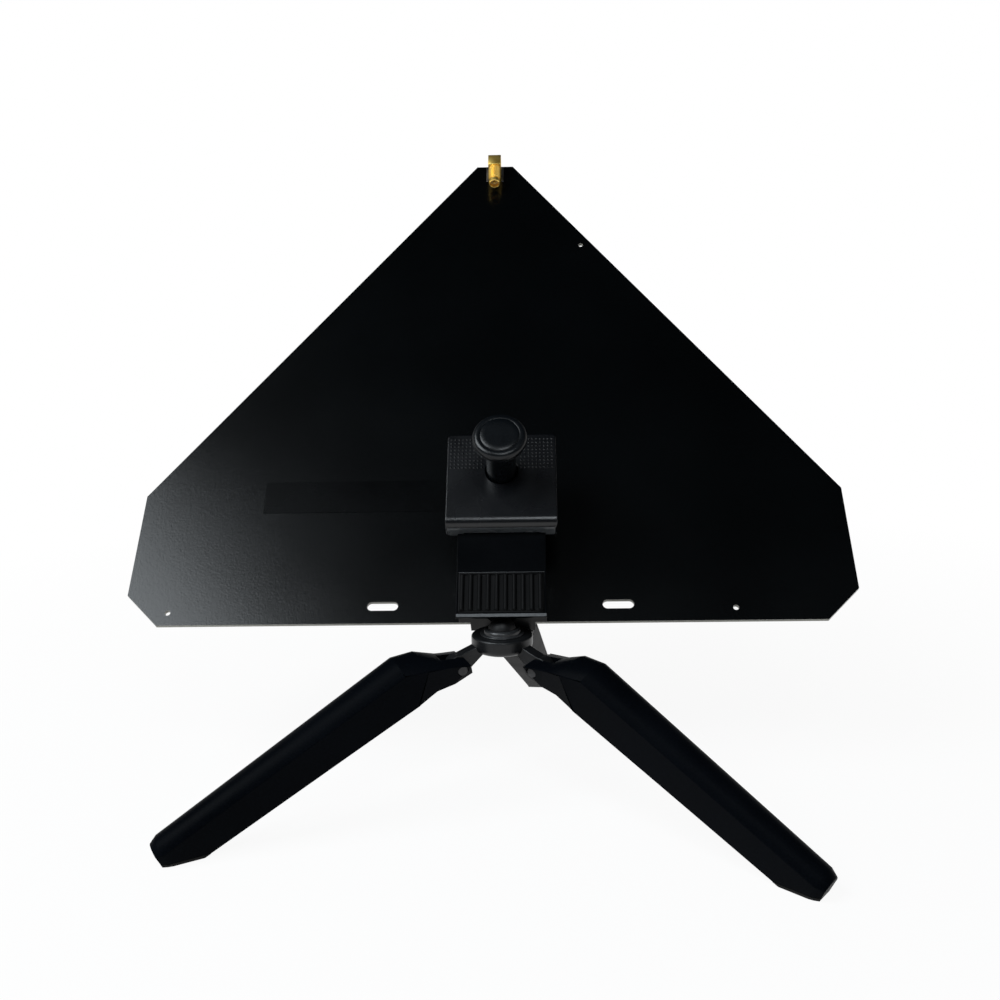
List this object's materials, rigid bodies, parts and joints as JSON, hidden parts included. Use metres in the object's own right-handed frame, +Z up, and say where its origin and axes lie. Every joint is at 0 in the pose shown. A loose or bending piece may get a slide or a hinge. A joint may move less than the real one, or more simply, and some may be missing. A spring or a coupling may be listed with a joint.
{
  "type": "log-periodic antenna",
  "caption": "Flat black log-periodic board antenna with a coaxial jack at its tip, held by a screw clamp on a ball head over a folding table tripod.",
  "frame": {"origin": "on the ground, under the tripod's axis and the middle of the ball", "axes": "+Z up along the tripod's axis, -Y towards the side that the board's front and the knob face, +X to the right seen from the front"},
  "size_m": [0.3, 0.2926, 0.2613],
  "materials": {
    "board": "satin solder mask",
    "label": "plain film",
    "gold": "gold plated",
    "insulator": "plain",
    "solder": "tinned",
    "clamp": "satin moulded",
    "rubber": "matte",
    "steel": "bright",
    "brass_part": "plain",
    "ball": "black coated",
    "liner": "plain",
    "hub": "smooth moulded",
    "ring": "dark satin",
    "leg": "grained moulded"
  },
  "bodies": {
    "hub": {"tripod_hub": "hub", "retaining_ring": "ring", "hinge_pins": "steel"},
    "swivel": {"ball_liner": "liner"},
    "stud": {"ball_stud": "ball", "flange_washer": "rubber"},
    "head": {"pcb_board": "board", "board_label": "label", "jack_body": "gold", "jack_insulator": "insulator", "jack_contact": "gold", "solder_pads": "solder", "solder_joints": "solder", "clamp_body": "clamp", "clamp_block": "clamp", "rib_pad": "rubber", "rear_pad": "rubber", "block_screws": "steel", "screw_nut": "steel", "threaded_insert": "brass_part"},
    "presser": {"pressure_foot": "clamp", "foot_rubber": "rubber"},
    "knob": {"clamp_knob": "clamp", "knob_cap": "clamp", "clamp_screw": "steel"},
    "rear_leg": {"leg_rear": "leg", "sole_rear": "rubber"},
    "left_leg": {"leg_left": "leg", "sole_left": "rubber"},
    "right_leg": {"leg_right": "leg", "sole_right": "rubber"}
  },
  "joints": [
    {"name": "head_pan", "type": "hinge", "parent": "hub", "child": "swivel", "pos_m": [0, 0, 0.068], "axis": [0, 0, 1], "continuous": true},
    {"name": "head_tilt", "type": "hinge", "parent": "swivel", "child": "stud", "pos_m": [0, 0, 0.068], "axis": [-1, 0, 0], "range_deg": [-45, 1]},
    {"name": "clamp_twist", "type": "hinge", "parent": "stud", "child": "head", "pos_m": [0, 0, 0.068], "axis": [0, 0.7071, 0.7071], "range_deg": [-5, 5]},
    {"name": "foot_slide", "type": "slide", "parent": "head", "child": "presser", "axis": [0, -0.7071, 0.7071], "range_m": [0, 0.0101]},
    {"name": "knob_turn", "type": "hinge", "parent": "presser", "child": "knob", "pos_m": [0, 0.04504, 0.11304], "axis": [0, -0.7071, 0.7071], "range_deg": [0, 3600]},
    {"name": "rear_leg_fold", "type": "hinge", "parent": "hub", "child": "rear_leg", "pos_m": [0.002, 0.01905, 0.057], "axis": [-0.9945, 0.1045, 0], "range_deg": [0, 64]},
    {"name": "left_leg_fold", "type": "hinge", "parent": "hub", "child": "left_leg", "pos_m": [-0.0175, -0.00779, 0.057], "axis": [0.4067, -0.9135, 0], "range_deg": [0, 64]},
    {"name": "right_leg_fold", "type": "hinge", "parent": "hub", "child": "right_leg", "pos_m": [0.0155, -0.01126, 0.057], "axis": [0.5878, 0.809, 0], "range_deg": [0, 64]}
  ],
  "couplings": [
    {"joint": "foot_slide", "follows": "knob_turn", "m_per_rad": 0.00015915}
  ]
}
